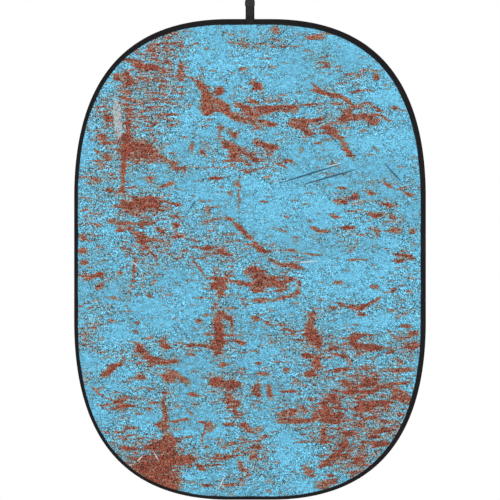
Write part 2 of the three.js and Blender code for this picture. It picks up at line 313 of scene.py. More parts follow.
class Nodes:
    """A material and short ways to add its nodes. Values are numbers, colours or other nodes' outputs."""

    def __init__(self, name, **principled):
        self.material = bpy.data.materials.new(name)
        self.material.use_nodes = True
        self.tree = self.material.node_tree
        self.shader = self.tree.nodes["Principled BSDF"]
        for socket, value in principled.items():
            self.set(self.shader.inputs[socket.replace("_", " ")], value)

    def set(self, socket, value):
        if isinstance(value, bpy.types.NodeSocket):
            self.tree.links.new(value, socket)
        else:
            socket.default_value = value

    def paint(self, colour):
        self.set(self.shader.inputs["Base Color"], colour)

    def add(self, kind, output=0, properties=None, **inputs):
        node = self.tree.nodes.new(kind)
        for name, value in (properties or {}).items():
            setattr(node, name, value)
        for name, value in inputs.items():
            key = int(name[1:]) if name[0] == "i" and name[1:].isdigit() else name.replace("_", " ")
            self.set(node.inputs[key], value)
        return node.outputs[output]

    def math(self, operation, *values, clamp=False):
        inputs = {f"i{i}": value for i, value in enumerate(values)}
        return self.add("ShaderNodeMath", properties={"operation": operation, "use_clamp": clamp}, **inputs)

    def vector(self, operation, output=0, **inputs):
        return self.add("ShaderNodeVectorMath", output, {"operation": operation}, **inputs)

    def flat(self, across=1.0, up=1.0, apart=0.0):
        """The place on the flat material in metres, scaled. Places that are set apart give unlike noises."""
        place = self.add("ShaderNodeUVMap", properties={"uv_map": "flat"})
        return self.add("ShaderNodeMapping", Vector=place, Location=(0, 0, apart), Scale=(across, up, 1))

    def place(self):
        """The place in the object's own metres."""
        return self.add("ShaderNodeTexCoord", "Object")

    def part(self, vector, index):
        return self.add("ShaderNodeSeparateXYZ", index, None, Vector=vector)

    def field(self, name):
        return self.add("ShaderNodeAttribute", "Fac", {"attribute_name": name})

    def noise(self, place, scale=1.0, detail=4.0, roughness=0.6):
        inputs = {"Vector": place, "Scale": scale, "Detail": detail, "Roughness": roughness}
        return self.add("ShaderNodeTexNoise", "Fac", **inputs)

    def cells(self, place, warp):
        """Three random numbers from 0 to 1 in each of many small ragged cells."""
        wander = self.add("ShaderNodeTexNoise", "Color", Vector=place, Scale=1.7, Detail=2.0)
        wander = self.vector("SUBTRACT", i0=wander, i1=(0.5, 0.5, 0.5))
        wander = self.vector("SCALE", i0=wander, Scale=4 * warp)
        place = self.vector("ADD", i0=place, i1=wander)
        flat_cells = {"voronoi_dimensions": "2D"}
        cell = self.add("ShaderNodeTexVoronoi", "Color", flat_cells, Vector=place, Scale=1.0)
        return self.add("ShaderNodeSeparateColor", Color=cell).node.outputs[:3]

    def tones(self, value, stops):
        """The colour at a value from 0 to 1 on a scale of (place, (red, green, blue)) stops."""
        out = self.add("ShaderNodeValToRGB", Fac=value)
        scale = out.node.color_ramp
        while len(scale.elements) < len(stops):
            scale.elements.new(0.5)
        for element, (place, _) in zip(scale.elements, stops):
            element.position = place
        for element, (_, colour) in zip(scale.elements, stops):
            element.color = srgb(*colour)
        return out

    def grey(self, value):
        return self.add("ShaderNodeCombineColor", Red=value, Green=value, Blue=value)

    def waves(self, value, pitch):
        """A sine wave along a value in metres."""
        return self.math("SINE", self.math("MULTIPLY", value, 2 * math.pi / pitch))

    def sway(self, noise, amount, base, centre=0.5):
        """The base, moved up or down by the amount times how far the noise is from its centre."""
        return self.math("MULTIPLY_ADD", self.math("SUBTRACT", noise, centre), amount, base)

    def ramp(self, value, low, high, to_low=0.0, to_high=1.0):
        """Turns value from low..high smoothly into to_low..to_high."""
        inputs = {"Value": value, "From_Min": low, "From_Max": high, "To_Min": to_low, "To_Max": to_high}
        return self.add("ShaderNodeMapRange", properties={"interpolation_type": "SMOOTHSTEP"}, **inputs)

    def mix(self, share, a, b, blend="MIX"):
        node = self.tree.nodes.new("ShaderNodeMix")
        node.data_type = "RGBA"
        node.blend_type = blend
        node.clamp_factor = True
        self.set(node.inputs[0], share)
        self.set(node.inputs[6], a)
        self.set(node.inputs[7], b)
        return node.outputs[2]

    def bump(self, height, distance, strength=1.0):
        normal = self.add("ShaderNodeBump", Height=height, Distance=distance, Strength=strength)
        self.set(self.shader.inputs["Normal"], normal)


# ---- The print: weathered blue paint over rust ----

# Bare rust shows in patches, grouped by how bare they are. Each patch is its middle's place on the panel,
# right of and above its centre, half its length and half its height, in centimetres, and its slope in
# degrees unless it is level.
RUST = {
    1.0: [
        (-21, 74.5, 2.4, 1.8, -50), (-19, 68, 2.2, 5, 8), (-18, 64, 3.2, 2.6), (-12.5, 66.5, 5, 1.4, -30),
        (-9, 62, 5, 1.5, -35), (-13.5, 72, 2.2, 1.6), (6, 63.6, 4, 1.8), (13.5, 64.5, 6, 1.4),
        (21, 59, 4, 1.4), (23.5, 56, 3.4, 2, -50), (36, 53.5, 4, 1.3, -40), (41, 47.5, 5, 1.3, -55),
        (-55.5, 13, 1.3, 1.2), (-3.5, 12.5, 6.5, 1, -42), (38.5, 25, 4, 0.9, -5), (44.5, 26.5, 1.8, 1.5, 10),
        (28, 13, 2.2, 0.8, -15), (-71.5, 3.5, 2, 1.2), (-71, -1.5, 2, 1), (-69, -7, 4, 0.7),
        (-22, -26, 1.7, 1), (-4.5, -9.8, 5.4, 0.9, -4), (-13.5, -30, 2.1, 8.5, 3), (-58, -46, 5.5, 1.3, 35),
        (-29.5, -50.5, 4.5, 1.2, -38), (-14.5, -52.5, 2.6, 2.2), (3, -6, 4, 2.6, -30), (7, -9.5, 5.2, 2.6),
        (3, -12, 2.6, 1.6), (53, -12, 2.4, 0.8, -15), (44.5, -20.3, 3.6, 0.9, -5), (50.5, -19, 3.6, 0.7, 24),
        (2.5, -25.2, 2.5, 0.8, -15), (26, -31.5, 2.8, 5), (69, -37, 4, 1), (69.5, -32, 2.6, 1.2),
        (40, -47, 4, 0.8, 3), (-43, -89.5, 8, 3, -10), (-38, -93, 8, 3.5, -15), (-34, -96, 4, 3),
        (-35, -76.5, 3, 3), (-34.5, -50.5, 2.8, 2.6), (8.2, -56.5, 1.2, 3), (16, -65.5, 5, 1.7, 10),
        (19.5, -68.8, 8.5, 1.1, 3), (25, -90.3, 3, 1.9, -40), (31.5, -96, 5, 1.7, 14),
        (34, -86, 5.5, 1.1, 25), (50.5, -63, 5.5, 1.8, 15), (62, -57, 2, 2.5), (66, -59, 3.6, 2, -40),
        (-3, -89, 3.8, 1, -45), (58, -73, 4.5, 0.9, 8),
    ],
    0.85: [
        (-47, 82.5, 5, 1.4, -8), (-41, 81.5, 2.5, 1.2), (-55, 78, 4.5, 2), (-51, 76, 2.5, 1.2),
        (-35, 61.5, 6, 0.6), (-52, 56.5, 1.3, 4), (-4, 60, 4, 1.2, -15), (-3, 65.5, 5, 1.2, -20),
        (-3, 81, 2.2, 1), (-13, 56, 1.8, 1.2), (-26, 77.5, 3, 0.4, -8), (54, 77.5, 1.6, 2),
        (3, 74, 4, 1.5, -35), (1.5, 67.5, 2.6, 1.1, -20), (8, 58, 4.5, 1.1, -15), (5, -17.5, 5, 1, 5),
        (-6.5, 53, 3.4, 1.3, -25), (0, 62, 4, 1.4, -30), (19, 64, 2.4, 1.6), (29, 73, 5, 0.8, -40),
        (33, 70.5, 6, 0.9, -12), (41, 68, 6, 0.9, -35), (28, 59.5, 3, 0.8, 5), (33, 56, 2.1, 1.2, -20),
        (41, 59.5, 3, 1.5), (48, 61, 7, 1.2, 8), (52, 59, 3, 1.6), (-47, 46.5, 9.5, 5, -8),
        (-54, 40, 1.1, 12), (-62, 49.5, 3, 0.5, 8), (-33, 41, 3, 0.9), (-31, 38.5, 2.6, 0.6),
        (-28, 38.5, 0.6, 1.8), (-24.5, 48, 0.9, 2.2), (-8.5, 48.5, 4, 2.2, -25), (-35, 32, 2.8, 0.9, 22),
        (-5.5, 32, 2, 1.3, -40), (-48, 24, 6, 2.6, 15), (-58, 16, 3.4, 1), (-52, 15.5, 6, 0.6, -4),
        (-44, 15.5, 4.5, 1.3, 5), (-32, 18, 3, 0.6, -15), (-38, 12, 3, 0.8, -30), (-46, 8.5, 2.2, 2),
        (5, 49.5, 4, 1.2, -15), (13.5, 40, 3, 0.6, -25), (17, 42, 2.6, 0.8, -20), (33.5, 51, 3.6, 0.6, 8),
        (39.5, 30.5, 2.9, 0.6), (59, 31.5, 2.6, 0.6, -30), (66.5, 28, 3.4, 0.6, -30), (19, 25, 3, 0.5, -8),
        (5.5, 24.5, 2.1, 0.6, -10), (53.5, 19.5, 4, 1.2), (35.5, 18.5, 2.1, 0.9, -10), (32, 12, 3.2, 0.7, 3),
        (62, 12.5, 3, 1.4), (69, 12, 1.5, 1.5, -30), (68.5, 1, 2, 1.4), (4, 4.5, 4.5, 1.4, -30),
        (17, 4, 3, 0.6, 6), (45, 0, 6.2, 0.5, 2), (26, 2.2, 6, 0.4, -3), (-72, -20, 1.8, 0.6),
        (-70, -34, 1.1, 1), (-64, -6, 2.2, 0.9), (-64, -11.5, 1.8, 0.7, -10), (-49.5, -4, 0.6, 6),
        (-43, -15.5, 1.7, 0.8, -20), (-48, -27, 1.4, 0.9), (-36, -36.5, 2.7, 1.6, -20),
        (-22, -3, 5.5, 0.6, -55), (-20, -37, 4.2, 0.5, -3), (-13, -9.5, 3, 3.6), (-12.5, -14, 2, 1.6),
        (-11, -24, 2.6, 1.2, -35), (-14.5, -37, 2.4, 2.6), (-4, -35.5, 2.5, 1, -25), (-1, -5, 3, 1.4, 25),
        (-62, -49, 2.4, 1.2, 20), (-35, -44, 3.6, 1.2), (-11.5, -45, 2, 1.1), (-8, -53, 4, 2.4),
        (13, -10.5, 3, 1.1), (17, -8.5, 3.6, 0.8, 15), (20.8, -12, 0.9, 3, -12), (19, -15.2, 2.6, 0.8, 15),
        (14.5, -12.5, 2.6, 1), (13, -16.5, 3, 0.7, 8), (20, -3, 5.4, 0.6, -12), (37.5, -9.8, 3, 0.8),
        (61.5, -13, 1.2, 0.9, 45), (35, -20.8, 2.1, 0.8), (39, -19.3, 1.7, 0.8), (54.5, -17, 2.2, 0.6, 40),
        (47.5, -23, 2.2, 0.7), (8, -28, 1.6, 0.6), (16.5, -30.5, 3.2, 0.7, -20), (26.5, -24.5, 1.6, 2.6),
        (29, -35, 1.5, 2.4), (27, 95, 4.5, 1.1, -8), (24.5, -41, 2.2, 1.3), (28, -44.5, 2.4, 3),
        (25.5, -49, 2.4, 2), (35, -38, 3.6, 0.6, 8), (44.5, -35, 2, 3.4), (52, -38, 6, 1.4),
        (66, -28.5, 2.6, 0.9, -10), (60, -39.5, 2.1, 0.8), (66, -47, 4, 1, 5), (63.5, -43.5, 2.5, 0.7, 8),
        (49, -46.6, 3.2, 1), (5.5, -49, 3.6, 0.8, 3), (15, -47.5, 2.1, 0.9), (4, -44.5, 1.6, 0.7),
        (-24, -57.5, 2.8, 0.8, -8), (-65, -56.5, 4.6, 0.6, -35), (-55, -60, 3.6, 1.3, 10),
        (-57, -63, 3, 0.7, 20), (-40.5, -61, 2.9, 0.5), (-36.5, -64.5, 1.1, 6), (-37.5, -71, 2.6, 2),
        (-30, -68.5, 5, 0.5, 8), (-29, -76, 6, 0.5, 8), (-51, -71.5, 3, 0.6, -5), (-46.5, -76, 2.6, 0.5),
        (-53, -80.5, 3.6, 1.2), (-38, -79.5, 4.2, 2, 10), (-34, -82, 3, 3), (-27, -84.5, 5, 0.8, -3),
        (-21, -88.5, 1.7, 1.7, 20), (-20, -76, 0.5, 4.2, -8), (-9, -79, 5.5, 0.7, 8),
        (-11.5, -84.5, 4.6, 0.6, 5), (-5.5, -81.5, 4.6, 0.6, 45), (-3.5, -76.5, 2.2, 0.7, -10),
        (-19, -96.5, 3, 0.7), (-4, -66, 1.6, 1.1), (-9, -70, 3, 0.8, 15), (3.2, -55.5, 1.8, 3.2),
        (16, -56, 3.6, 0.6, 5), (23.5, -75, 1.6, 0.6), (24, -77.8, 7, 0.4, 3), (34, -95, 2.2, 0.9, 20),
        (1.5, -84.5, 2.6, 1, 20), (32, -64, 2.1, 3.6), (33, -68.5, 2.2, 1.4), (40, -79, 2.1, 1.6, 20),
        (36.5, -83, 4.4, 0.9, 36), (51, -53.5, 4, 1.4), (47.5, -64, 3, 1.2), (53, -76, 3.6, 0.5),
        (57, -78.5, 3.7, 1, 8), (64, -53, 5, 0.7, 5), (-50, 31, 2, 0.5, 30),
    ],
    0.65: [
        (-51, 85, 3, 1, -10), (-52, 64, 3.6, 1.6), (-61, 60, 2, 4), (-63, 52, 3.8, 1.8),
        (-33, 57, 3.4, 0.8, 10), (-29, 82, 1.7, 3), (-30, 78, 2, 1.8), (-28.5, 97.5, 1.6, 0.7),
        (-19, 90, 1.6, 0.7), (-10, 76, 0.7, 2.2, 20), (10.5, 98, 1.6, 2.6), (13, 91.5, 2, 0.6, -15),
        (20, 91, 4, 0.5), (5, 86, 4, 0.5), (35, 96, 5, 0.7, -8), (33, 83, 1.7, 1.4, -30), (43, 79, 3.2, 0.6),
        (53, 80, 4, 0.5), (25, 66, 8, 0.6), (45, 71.5, 4, 0.8, 5), (48, 66, 3.2, 0.8, 20),
        (53, 65, 5, 0.7, -25), (57, 61, 3.2, 0.8, -20), (3, 57, 5, 1.2, -35), (19, 57.5, 3.2, 0.7),
        (-65, 46, 2.2, 0.8, -30), (-61, 43.5, 2.6, 1.8), (-66, 34.5, 5, 0.6), (-68, 32.5, 3, 0.5),
        (-60, 29.5, 3.2, 0.7), (-56.5, 28, 3, 0.9, 35), (-37, 43, 3.2, 0.7, -20), (-19, 44.5, 2.2, 0.7, -30),
        (-15.5, 42, 0.7, 2.2), (-6, 45, 3, 3, -50), (-2, 42, 5, 1.2, -35), (-42.5, 34, 2.6, 1.2),
        (-15, 34.5, 3.4, 0.8), (-4.6, 27, 0.5, 10), (-8, 28, 2.1, 0.8, -15), (-52, 22.5, 3.2, 1.8, -20),
        (-41, 23, 5, 2.6), (-34, 24, 4, 0.7, -18), (-17.5, 21.5, 1.4, 2.6), (-32, 14, 1.7, 1.6),
        (-15, 17, 5, 0.8, 8), (-8.5, 17.5, 2.5, 0.6), (-49, 11.5, 5, 1.6, -30), (-31, 9.5, 4, 0.7, 3),
        (-71.5, 9.5, 3, 2), (-18, 4.5, 2.6, 1.7), (-12, 3, 5, 1.3, -25), (-26, 4.5, 5, 0.5, 35),
        (-42, 3, 6, 0.6, -50), (10.5, 48, 2.7, 1.2), (1, 43.5, 3.4, 1.4, -40), (1, 38, 4, 0.7),
        (21.5, 46.5, 1.1, 2.2, -20), (29, 49.5, 2.2, 0.6), (53, 47.5, 2.6, 0.9, -35), (52, 28.5, 2.2, 1),
        (53, 24.5, 4.2, 0.7), (60, 23, 3.6, 0.8), (61, 18, 2.2, 1.4, -40), (42, 20.5, 2.2, 0.5),
        (13.5, 12.5, 4, 1, -20), (42.5, 13.5, 4.2, 1, 5), (54, 12, 1.6, 3), (65, 2, 3.2, 1),
        (44, 5, 4, 0.5, 50), (10, -0.5, 3.4, 0.9, -15), (-55, -5.5, 1.7, 0.9), (-58.5, -16.5, 2.6, 1),
        (-59, -26.5, 3, 0.8), (-50.5, -11.5, 1.7, 0.6, -30), (-42, -11, 2.1, 1, 10),
        (-48.5, -31, 1.8, 0.8, -25), (-26.5, -9.5, 1.4, 0.6), (-19, -16.5, 6, 0.4, -3),
        (-15, -12, 2.2, 1, 20), (-5, -15, 5.2, 0.4, 3), (-3, -17, 2.1, 0.7, -15), (-8, -28, 0.8, 4.6, 8),
        (-25, -36, 2.8, 0.8, 5), (-46, -39.5, 5, 2, -35), (-41, -43, 3, 2), (-62, -42, 4, 0.6, 5),
        (15, -2.5, 4, 0.8), (49, -5.5, 1.6, 0.5, -10), (64, -0.5, 3, 1, 10), (68, -8, 1.6, 0.6),
        (60, -22, 2.8, 0.9, 10), (65.5, -23, 2.2, 0.6, 20), (8, -25, 1.6, 0.6), (20, -34.5, 3, 0.6),
        (14.5, -39, 2.1, 0.6, 20), (30.5, -40.5, 2.2, 0.8, 10), (39, -41, 4.4, 0.8, -20),
        (45.5, -28, 2.2, 0.6), (46, -32.5, 4, 1.2), (60.5, -32, 3, 0.5, -45), (61, -46.5, 6, 0.5),
        (50, -51, 4, 1.1), (-47, -50.5, 4, 1.6), (-52, -62.5, 3.6, 0.8), (-61, -62, 2.6, 0.5, 10),
        (-25.5, -65.5, 3.6, 0.5, -45), (-53, -76, 4, 0.5), (-43, -79.5, 4.2, 0.8), (-36, -86, 6, 4),
        (-46, -84.5, 4, 0.8), (-29, -86.5, 5, 1), (-16, -72.5, 2.8, 0.9, 40), (-13, -77, 3.2, 0.5, 5),
        (-9, -96, 4.2, 0.9, 8), (-13, -87.5, 3.4, 0.5), (-9, -59.5, 2.6, 3), (-6, -63, 1.4, 3),
        (-2, -71, 3.2, 1.5, -40), (23, -63.5, 2.6, 0.9, -20), (27.5, -66.5, 1.6, 1.8), (35, -92, 1.4, 1),
        (6, -76, 3.2, 0.8, 10), (3, -80, 3, 1.2), (3, -72.5, 4, 1.5, 10), (62, 64.5, 3.2, 1.4, -20),
        (-18, -71, 3, 2, 20), (8, -99, 1.7, 0.9), (36, -59, 3, 3), (38.5, -66, 2.6, 2), (31, -75, 2, 5),
        (38, -72, 3, 0.5, 12), (43, -56, 3.6, 3), (57, -54.5, 4, 1.1, 10), (50, -57, 4, 1),
        (43, -74.5, 4, 1.2, 10), (41, -68.5, 4, 0.6, 20), (53, -68, 4, 0.6, -15), (57, -61, 3.2, 0.9),
        (48, -80, 2.4, 1.4, 45), (47, -86, 3.4, 3.4), (43.5, -92, 2.4, 1, 20), (56, -84, 3.2, 0.5, 40),
    ],
}

# Worn ground, where grey undercoat and specks of rust show through, in the same form.
WORN = {
    0.85: [
        (-39, 78, 13, 15), (-36, 91, 9, 7, 15), (-54, 62, 13, 15), (-44, 22, 15, 7), (-44, 6, 13, 7),
        (-38, -84, 15, 9), (50, -58, 16, 8), (56, -74, 12, 8), (38, -82, 11, 11),
    ],
    0.6: [
        (-42, 59, 11, 5), (44, 62, 16, 6, -10), (6, 66, 13, 7, -10), (28, 57, 12, 4), (-50, 46, 14, 8),
        (-13, 5, 12, 8), (7, 43, 10, 7, -30), (-68, 16, 6, 12), (-13, -10, 8, 9), (-13, -33, 6, 12),
        (9, -9, 13, 8), (27, -36, 8, 16), (50, -37, 18, 7), (67, -37, 7, 6), (48, -50, 20, 5),
        (-52, -61, 12, 7), (-44, -92, 10, 7, -15), (-54, -80, 8, 8), (34, -62, 8, 11),
        (-45, -42, 11, 7, -25), (-8, -57, 8, 10), (3, -82, 7, 8), (46, -89, 8, 5), (58, -64, 10, 5),
        (-68, -32, 6, 8),
    ],
    0.35: [
        (-63, 35, 9, 8), (-10, 42, 12, 11, -30), (-30, 10, 12, 9), (58, 18, 13, 8), (42, 12, 9, 5),
        (66, 2, 8, 6), (8, 4, 6, 4), (-67, -6, 7, 9), (-57, -23, 6, 5), (-46, -8, 8, 8), (-26, -36, 7, 4),
        (-36, -36, 5, 4), (-60, -46, 9, 5, 30), (12, -33, 11, 11), (50, -20, 16, 5), (64, -12, 8, 9),
        (10, -48, 11, 5), (-8, -95, 11, 6), (18, -62, 11, 8), (10, -94, 9, 7), (14, 93, 9, 6),
        (46, 76, 12, 6), (-3, 90, 6, 8), (-16, -84, 13, 6), (-4, -74, 8, 6), (-35, -60, 5, 12),
        (44, -70, 12, 5), (48, -70, 11, 12),
    ],
}

# Scratches: each is its middle's place, half its length and half its width, in centimetres, and its slope.
DARK_SCRATCHES = [
    (25.5, 36.5, 17, 0.5, 17), (33.5, 35, 16, 0.46, 16), (61, 37, 7, 0.4, -47), (35, 52, 9, 0.3, -45),
    (44, 26, 6, 0.25, 8), (12, 95, 7, 0.3, 40), (17, 92, 8, 0.25, 42), (-24.5, 23, 3.5, 0.3, 50),
]
WHITE_SCRATCHES = [
    (25, -1, 5.5, 0.3, 5), (-40, -84, 3, 0.25, -60), (-47, -85, 2, 0.35, 45), (-12, -95, 3.5, 0.3, 65),
    (36, 40.3, 5, 0.2, 14), (-49, -2, 2.2, 0.3, -40),
]
PALE_SMEAR = (-56.5, 60, 2.4, 11, 4)

WARP = 1.1 * CM
WARP_SCALE = 14


def patches_at(points, groups):
    """How much the patches cover each point (x, z), 0 to 1, with edges bent out of true."""
    patches = [(amount, *patch) for amount, group in groups.items() for patch in group]
    bent = [noise.noise_vector(Vector((x * WARP_SCALE, z * WARP_SCALE * 2, 0.5))) for x, z in points]
    place = points - [0, MIDDLE] + WARP * np.array([(v.x, v.y * 0.6) for v in bent])
    left = np.ones(len(points))
    for amount, x, z, half_length, half_height, *slope in patches:
        away = place - [x * CM, z * CM]
        turn = math.radians(slope[0] if slope else 0)
        forwards = (away[:, 0] * math.cos(turn) + away[:, 1] * math.sin(turn)) / (half_length * CM)
        sideways = (away[:, 1] * math.cos(turn) - away[:, 0] * math.sin(turn)) / (half_height * CM)
        left *= 1 - amount * np.exp(-(forwards**2) - sideways**2)
    return 1 - left


# The print's tones, from whole blue paint through worn paint and undercoat to bare rust
TONES = [
    (0.0, (118, 203, 236)), (0.18, (107, 187, 220)), (0.32, (96, 163, 190)), (0.44, (110, 150, 157)),
    (0.56, (130, 136, 126)), (0.68, (141, 111, 96)), (0.8, (153, 85, 62)), (1.0, (132, 66, 50)),
]
UNDERCOAT = 0.57  # its place on the scale of tones
SPECK_COLOUR = (46, 52, 60)
DARK_SCRATCH_COLOUR = (34, 60, 84)
WHITE_SCRATCH_COLOUR = (222, 232, 232)
CHALK_COLOUR = (200, 214, 216)  # the pale smear's

THREAD_PITCH = 0.55 * MM  # of the cloths' weave
WEAVE_HEIGHT = 0.05 * MM
TAPE_RIB_PITCH = 0.9 * MM
WEBBING_RIB_PITCH = 1.5 * MM
WEBBING_CORD_PITCH = 2.4 * MM
EDGE_SHADE_STARTS = (12.5 * MM, 14.5 * MM)  # from the webbing's middle: the fade from its face to its edges, which are painted darker as shade
STRAP_BASE_SHADOW = (RIM_TOP + 6 * MM, RIM_TOP + 22 * MM)  # a painted shadow darkens the strap's base by the rim and its sewn ends, fading out between these two heights


def printed_cloth():
    """Paint that noises wear down. The numbers are shares from 0 to 1 unless they scale a place."""
    m = Nodes("printed_cloth", Roughness=0.82, Sheen_Weight=0.05, Sheen_Roughness=0.5, Specular_IOR_Level=0.2)
    rust_field = m.field("rust")
    worn_field = m.field("worn")
    wash = m.noise(m.flat(2.2, 4.5), detail=3, roughness=0.5)
    blotches = m.noise(m.flat(8, 17), detail=5, roughness=0.62)
    flakes = m.noise(m.flat(36, 78), detail=5, roughness=0.66)
    dashes = m.noise(m.flat(18, 70, 3), detail=4, roughness=0.6)
    smudges = m.noise(m.flat(60, 110, 7), detail=4, roughness=0.7)
    red, green, blue = m.cells(m.flat(350, 400), 0.35)

    # How worn the paint is here: 0 where it's whole, 1 where it's nearly gone
    chance = m.sway(blotches, 1.7, 0.21)
    chance = m.math("MULTIPLY_ADD", rust_field, 0.3, chance, clamp=True)
    wear = m.math("MULTIPLY_ADD", worn_field, 0.9, chance, clamp=True)

    # The tone steps with the wear, is drawn to undercoat in worn ground, and leaps to rust in flakes, in
    # dashes and in the rust patches, whose edges the dashes fray
    tone = m.math("MULTIPLY_ADD", chance, 0.42, m.ramp(wash, 0.36, 0.64, 0.2, 0.03))
    to_undercoat = m.math("SUBTRACT", UNDERCOAT, tone)
    tone = m.math("MULTIPLY_ADD", to_undercoat, m.math("MULTIPLY", worn_field, 0.9), tone)
    tone = m.sway(flakes, m.ramp(wear, 0, 1, 0.8, 1.4), tone)
    ragged = m.sway(dashes, 0.9, rust_field)
    tone = m.math("MULTIPLY_ADD", m.ramp(ragged, 0.12, 0.62), 0.44, tone)
    dash = m.math("MULTIPLY_ADD", wear, 0.12, dashes)
    tone = m.math("ADD", tone, m.ramp(dash, 0.615, 0.665, 0, 0.36))
    tone = m.sway(red, m.ramp(wear, 0, 1, 0.12, 0.5), tone)
    colour = m.tones(tone, TONES)

    # Light and dark cells
    light = m.sway(green, m.ramp(wear, 0, 0.6, 0.55, 2.5), 1.0, centre=0.45)
    light = m.sway(smudges, m.ramp(wear, 0, 0.6, 0.7, 1.8), light)
    colour = m.mix(1.0, colour, m.grey(light), "MULTIPLY")
    speck = m.math("LESS_THAN", blue, m.ramp(wear, 0, 0.8, 0.03, 0.13))
    colour = m.mix(m.math("MULTIPLY", speck, 0.8), colour, srgb(*SPECK_COLOUR))

    # Scratches and the pale smear
    place = m.flat()
    dark, white = (DARK_SCRATCHES, DARK_SCRATCH_COLOUR), (WHITE_SCRATCHES, WHITE_SCRATCH_COLOUR)
    for scratches, paint in (dark, white):
        for ellipse in scratches:
            colour = m.mix(scratch(m, place, *ellipse), colour, srgb(*paint))
    smear = m.math("MULTIPLY", scratch(m, place, *PALE_SMEAR), m.ramp(green, 0.1, 0.8, 0.2, 0.95))
    m.paint(m.mix(smear, colour, srgb(*CHALK_COLOUR)))
    m.bump(weave(m, THREAD_PITCH), WEAVE_HEIGHT, 0.5)
    return m.material


def scratch(m, place, x, z, half_length, half_width, slope):
    """1 along the middle of a thin ellipse, falling to 0 at its edge."""
    inside = m.add(
        "ShaderNodeMapping",
        properties={"vector_type": "TEXTURE"},
        Vector=place,
        Location=(x * CM, z * CM, 0),
        Rotation=(0, 0, math.radians(slope)),
        Scale=(half_length * CM, half_width * CM, 1),
    )
    return m.ramp(m.vector("LENGTH", 1, i0=inside), 0.5, 1.0, 0.85, 0)


def weave(m, pitch):
    """The height of a plain weave with threads at that pitch."""
    place = m.flat()
    return m.math("MULTIPLY", m.waves(m.part(place, 0), pitch), m.waves(m.part(place, 1), pitch))


def plain_cloth():
    m = Nodes("plain_cloth", Roughness=0.85, Sheen_Weight=0.2, Sheen_Roughness=0.5, Specular_IOR_Level=0.25)
    mottle = m.noise(m.flat(14, 14), detail=5, roughness=0.55)
    slub = m.noise(m.flat(40, 900), detail=2, roughness=0.5)
    colour = m.mix(m.ramp(mottle, 0.35, 0.65), srgb(92, 95, 98), srgb(104, 107, 110))
    colour = m.mix(m.ramp(slub, 0.5, 0.7, 0, 0.35), colour, srgb(78, 81, 84))
    m.paint(colour)
    m.bump(weave(m, THREAD_PITCH), WEAVE_HEIGHT, 0.7)
    return m.material


def binding_tape():
    """Ribbed tape: fine ribs across its length."""
    m = Nodes("binding_tape", Roughness=0.85, Sheen_Weight=0.04, Sheen_Roughness=0.4, Specular_IOR_Level=0.2)
    ribs = m.waves(m.part(m.flat(), 0), TAPE_RIB_PITCH)
    fuzz = m.noise(m.flat(300, 300), detail=3)
    fade = m.noise(m.flat(6, 40), detail=4)
    colour = m.mix(m.ramp(ribs, -1, 1), srgb(13, 11, 13), srgb(27, 24, 27))
    colour = m.mix(m.ramp(fuzz, 0.5, 0.75, 0, 0.5), colour, srgb(44, 39, 41))
    colour = m.mix(m.ramp(fade, 0.45, 0.7, 0, 0.45), colour, srgb(37, 32, 34))
    m.paint(colour)
    m.bump(m.math("MULTIPLY_ADD", ribs, 0.5, m.math("MULTIPLY", fuzz, 0.6)), 0.15 * MM, 0.8)
    return m.material


def strap_webbing():
    """Webbing with a ribbed face and tight selvedges, with painted shade darkening its edges and a painted
    shadow at its base by the rim. Its flat map runs along it, then across it.
    """
    m = Nodes("strap_webbing", Roughness=0.8, Sheen_Weight=0.06, Sheen_Roughness=0.4, Specular_IOR_Level=0.25)
    place = m.flat()
    across = m.part(place, 1)
    ribs = m.waves(m.part(place, 0), WEBBING_RIB_PITCH)
    cords = m.waves(across, WEBBING_CORD_PITCH)
    fuzz = m.noise(m.flat(400, 400), detail=3)
    # Painted shade: the webbing's edges are mixed towards near-black
    edge_shade = m.ramp(m.math("ABSOLUTE", across), *EDGE_SHADE_STARTS)
    face = m.mix(m.ramp(ribs, -1, 1), srgb(24, 24, 25), srgb(46, 46, 46))
    face = m.mix(m.ramp(fuzz, 0.5, 0.72, 0, 0.5), face, srgb(60, 59, 58))
    colour = m.mix(edge_shade, face, srgb(13, 13, 14))
    # Painted shadow: the strap's base by the rim is mixed towards near-black
    m.paint(m.mix(m.ramp(m.part(m.place(), 2), *STRAP_BASE_SHADOW, 0.7, 0), colour, srgb(16, 14, 15)))
    relief = m.math("ADD", m.math("MULTIPLY", ribs, 0.6), m.math("MULTIPLY", cords, 0.4))
    m.bump(m.math("ADD", relief, fuzz), 0.2 * MM, 0.7)
    return m.material


def thread():
    m = Nodes("thread", Roughness=0.6, Sheen_Weight=0.2, Specular_IOR_Level=0.4)
    twist = m.noise(m.place(), scale=1800, detail=2)
    m.paint(m.mix(m.ramp(twist, 0.4, 0.6), srgb(26, 25, 26), srgb(52, 50, 50)))
    m.bump(twist, 0.08 * MM)
    return m.material


def slider_plastic():
    m = Nodes("slider_plastic", Roughness=0.45, Specular_IOR_Level=0.45)
    place = m.place()
    texture = m.noise(place, scale=1500, detail=2)
    wear = m.noise(place, scale=140, detail=4)
    m.paint(m.mix(m.ramp(wear, 0.4, 0.7), srgb(22, 22, 23), srgb(36, 36, 36)))
    m.set(m.shader.inputs["Roughness"], m.ramp(wear, 0.35, 0.7, 0.38, 0.55))
    m.bump(texture, 0.05 * MM, 0.6)
    return m.material


def metal(name, dark, light, roughness, scale):
    m = Nodes(name, Metallic=1.0)
    brushed = m.noise(m.add("ShaderNodeMapping", Vector=m.place(), Scale=(scale, scale * 8, scale)), detail=4)
    m.paint(m.mix(m.ramp(brushed, 0.35, 0.65), srgb(*dark), srgb(*light)))
    m.set(m.shader.inputs["Roughness"], m.ramp(brushed, 0.3, 0.7, roughness, roughness + 0.15))
    m.bump(brushed, 0.02 * MM, 0.4)
    return m.material


